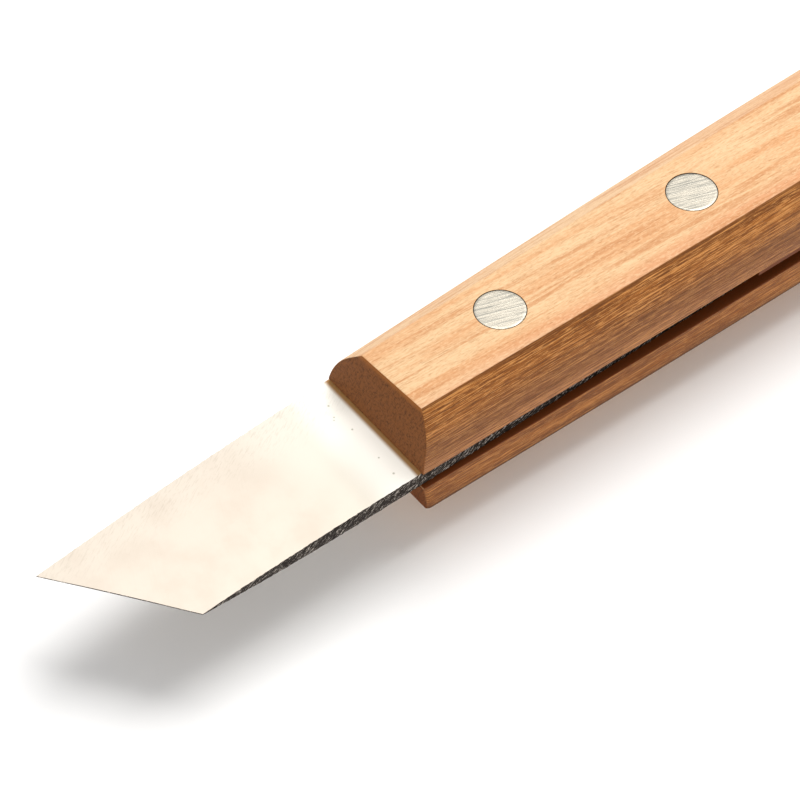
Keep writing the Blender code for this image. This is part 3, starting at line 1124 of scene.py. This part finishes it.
@dataclass
class Rivet:
    """One solid rivet, ground flush with the tilted top and the flat underside."""

    node: str
    handle: Handle
    radius: float = 3.0
    lip: float = 0.08
    bit_spare: float = 4.0
    segments: int = 96
    rows: int = 24

    def tube(self, name: str, radius: float, low: float, high: Any, lip: float = 0.0) -> bpy.types.Object:
        """Makes an upright round bar: rings of radius * (cos t, sin t), the last rings drawn in by
        the lip at both ends, with a top that may vary with y.

        Args:
            name: The object's name.
            radius: The bar's radius.
            low: The height of its foot.
            high: The height of its top, as a number or a function of y.
            lip: The rounding of its ends.

        Returns:
            The bar.
        """
        centre_x, centre_y = self.handle.layout.centre_of(self.node)
        t = np.linspace(0, 2 * np.pi, self.segments, endpoint=False)
        ease = np.linspace(0, np.pi / 2, 4)
        ends = np.array([0.35, 0.7, 0.9])
        rim = radius - lip * (1 - np.sin(ease))
        radii = np.concatenate([(radius - lip) * ends, rim, np.full(self.rows, radius), rim[::-1]])
        radii = np.concatenate([radii, (radius - lip) * ends[::-1]])
        share = np.concatenate([np.zeros(7), np.linspace(0, 1, self.rows), np.ones(7)])
        dip = np.concatenate([np.zeros(3), lip * (1 - np.cos(ease)), np.zeros(self.rows)])
        dip = np.concatenate([dip, -lip * (1 - np.cos(ease[::-1])), np.zeros(3)])
        x = centre_x + radii[:, None] * np.cos(t)[None, :]
        y = centre_y + radii[:, None] * np.sin(t)[None, :]
        top = high(y) if callable(high) else high
        z = np.broadcast_to(low + (top - low) * share[:, None] + dip[:, None], x.shape)
        return mesh_from_rings(name, np.stack([x, y, z], axis=-1), self.handle.layout.origin)

    def build(self) -> bpy.types.Object:
        """Builds the rivet."""
        foot = -self.handle.layout.depth
        return self.tube(f"flush_{self.node}", self.radius, foot, self.handle.top_at, self.lip)

    def bit(self) -> bpy.types.Object:
        """Builds the drill for this rivet's hole, as long as the handle is thick and more."""
        room = 2 * self.handle.layout.depth
        return self.tube(f"{self.node}_drill", self.handle.hole_radius, -room, room + self.bit_spare)

    def dress(self, obj: bpy.types.Object) -> None:
        """Gives the rivet its metal and its place in the frame."""
        metal = BrushedAluminiumFinish(f"brushed_{self.node}").make(self.handle.layout.origin)
        dress(obj, metal, self.node, sharp=40.0)


@dataclass
class TailSpacer:
    """The hidden strip behind the tang, with round rear corners and eased edges."""

    layout: Layout
    corner: float = 3.0
    ease: float = 0.15

    def build(self) -> bpy.types.Object:
        """Builds the strip as rings stacked in z: a rectangle whose rear corners are arcs, drawn in
        along its normal by the ease at both ends.

        Returns:
            The piece.
        """
        low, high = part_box("tail_spacer")
        low, high = (low - self.layout.origin) / MM, (high - self.layout.origin) / MM
        rear_near = turn((high.x - self.corner, low.y + self.corner), self.corner, -np.pi / 2, 0, 12)
        rear_far = turn((high.x - self.corner, high.y - self.corner), self.corner, 0, np.pi / 2, 12)
        front_far, front_near = (low.x, high.y), (low.x, low.y)
        sides = [run(rear_far[-1], front_far, 40), run(front_far, front_near, 12)]
        back = [run(front_near, rear_near[0], 40), rear_near, run(rear_near[-1], rear_far[0], 8), rear_far]
        loop = joined(sides + back)
        t = np.linspace(0, np.pi / 2, 4)
        step, pull = self.ease * (1 - np.cos(t)), self.ease * (1 - np.sin(t))
        heights = np.concatenate([low.z + step, high.z - step[::-1]])
        pulls = np.concatenate([pull, pull[::-1]])
        flat = loop[None] + inward(loop)[None] * pulls[:, None, None]
        z = np.broadcast_to(heights[:, None, None], (*flat.shape[:2], 1))
        return mesh_from_rings("dark_tail_spacer", np.concatenate([flat, z], axis=-1), self.layout.origin)

    def dress(self, obj: bpy.types.Object) -> None:
        """Gives the spacer its wood and its place in the frame."""
        wood = DarkStripFinish("dark_spacer_wood").make(self.layout.origin)
        dress(obj, wood, "tail_spacer", sharp=32.0)


# ---------------------------------------------------------------------------------------------
# The studio


@dataclass
class Studio:
    """The table, the light and the camera."""

    layout: Layout
    steel: bpy.types.Object
    azimuth: float = -44.46
    elevation: float = 52.66
    roll: float = 6.28
    lens: float = 229.9
    distance: float = 577.6
    aim: Triple = (4.8, 9.45, 0.0)
    floor_drop: float = 6.6
    floor_half: float = 900.0
    floor_cells: int = 60
    sky: float = 0.6
    panel_size: float = 388.0
    panel_place: Triple = (229.0, 98.0, 546.0)
    panel_power: float = 3.7
    panel_tint: Colour = (1.0, 0.985, 0.965)
    front_place: Triple = (-330.0, 60.0, 480.0)
    front_power: float = 1.7

    def floor(self) -> bpy.types.Object:
        """Makes the table: a flat grid whose z is the knife's lowest point less the drop.

        Returns:
            The table.
        """
        side = np.linspace(-self.floor_half, self.floor_half, self.floor_cells + 1)
        x, y = np.meshgrid(side, side, indexing="ij")
        z = np.full_like(x, -self.layout.depth - self.floor_drop)
        points = np.stack([x, y, z], axis=-1).reshape(-1, 3) * MM + np.array(self.layout.origin)
        n = self.floor_cells + 1
        row, column = np.meshgrid(np.arange(n - 1), np.arange(n - 1), indexing="ij")
        start = row * n + column
        quads = np.stack([start, start + n, start + n + 1, start + 1], axis=-1).reshape(-1, 4)
        mesh = bpy.data.meshes.new("table")
        mesh.from_pydata(points.tolist(), [], quads.tolist())
        table = bpy.data.objects.new("table", mesh)
        table.data.materials.append(TableFinish("matt_white_table").make(self.layout.origin))
        bpy.context.scene.collection.objects.link(table)
        return table

    def lights(self) -> None:
        """Adds a soft white sky, a broad panel overhead, and a weaker one in front for the blade
        only, because the wood's end hides the overhead panel from the steel beside it."""
        world = bpy.data.worlds.new("soft_sky")
        world.use_nodes = True
        sky = world.node_tree.nodes["Background"]
        sky.inputs["Color"].default_value = (1.0, 1.0, 1.0, 1.0)
        sky.inputs["Strength"].default_value = self.sky
        bpy.context.scene.world = world
        self.panel("overhead_panel", self.panel_place, self.panel_power)
        front = self.panel("front_panel", self.front_place, self.front_power)
        lit = bpy.data.collections.new("lit_by_front_panel")
        lit.objects.link(self.steel)
        front.light_linking.receiver_collection = lit

    def panel(self, name: str, place: Triple, power: float) -> bpy.types.Object:
        """Hangs a square panel that faces the aim.

        Args:
            name: The lamp's name.
            place: Its middle, in layout millimetres.
            power: Its power in watts.

        Returns:
            The panel.
        """
        lamp = bpy.data.lights.new(name, "AREA")
        lamp.shape = "SQUARE"
        lamp.size = self.panel_size * MM
        lamp.energy = power
        lamp.color = self.panel_tint
        panel = bpy.data.objects.new(name, lamp)
        panel.location = self.layout.origin + Vector(place) * MM
        towards = self.layout.origin + Vector(self.aim) * MM - panel.location
        panel.rotation_euler = towards.to_track_quat("-Z", "Y").to_euler()
        bpy.context.scene.collection.objects.link(panel)
        return panel

    def camera(self) -> None:
        """Sets the camera at its angle: it looks at the aim from the distance, and rolls."""
        azimuth, elevation = math.radians(self.azimuth), math.radians(self.elevation)
        back = Vector(
            (
                math.sin(azimuth) * math.cos(elevation),
                -math.cos(azimuth) * math.cos(elevation),
                math.sin(elevation),
            )
        )
        level = Vector((math.cos(azimuth), math.sin(azimuth), 0.0))
        upright = back.cross(level)
        roll = math.radians(self.roll)
        right = level * math.cos(roll) + upright * math.sin(roll)
        up = upright * math.cos(roll) - level * math.sin(roll)
        data = bpy.data.cameras.new("camera")
        data.lens, data.sensor_width = self.lens, 36.0
        data.clip_start, data.clip_end = 0.01, 20.0
        camera = bpy.data.objects.new("camera", data)
        aim = self.layout.origin + Vector(self.aim) * MM
        place = Matrix((right, up, back)).transposed().to_4x4()
        place.translation = aim + back * self.distance * MM
        camera.matrix_world = place
        bpy.context.scene.collection.objects.link(camera)
        bpy.context.scene.camera = camera

    def set_up(self) -> None:
        """Sets up the whole studio, and plain tones, so that white stays white."""
        self.floor()
        self.lights()
        self.camera()
        bpy.context.scene.view_settings.view_transform = "Standard"


def main() -> None:
    """Builds each sub-assembly in turn and sets up the studio."""
    logging.basicConfig(level=logging.INFO, format="%(name)s: %(message)s")
    layout = Layout.from_frame()
    lower_wood = {
        "line_base": 20.0,
        "line_top": 30.0,
        # The lower scale's near side is darker towards its foot: painted shade of its lower, table-facing
        # part.
        "side_low": (0.22, 0.075, 0.02),
        "fade_start": -7.3,
        "fade_end": -5.2,
        "side_fade_colour": (0.335, 0.10, 0.014),
        "end": (0.19, 0.053, 0.011),
        "seat": -layout.steel - Handle.gap,
        "seat_side": -1.0,
        "foot": -layout.depth,
    }
    handle = Handle(
        layout,
        finishes={
            Side.UPPER: FruitwoodFinish("upper_fruitwood"),
            Side.LOWER: FruitwoodFinish("lower_fruitwood", **lower_wood),
        },
    )
    rivets = [Rivet(node, handle) for node in ("front_rivet", "middle_rivet", "rear_rivet")]
    drills = [rivet.bit() for rivet in rivets]

    blade = Blade(layout)
    steel = blade.build()
    drill(steel, drills[:2])
    blade.dress(steel)

    for side, scale in ((Side.UPPER, handle.build_upper()), (Side.LOWER, handle.build_lower())):
        drill(scale, drills)
        handle.dress(side, scale)

    spacer = TailSpacer(layout)
    strip = spacer.build()
    drill(strip, drills[2:])
    spacer.dress(strip)

    for rivet in rivets:
        rivet.dress(rivet.build())
    for tool in drills:
        bpy.data.objects.remove(tool, do_unlink=True)

    Studio(layout, steel).set_up()


if __name__ == "__main__":
    main()
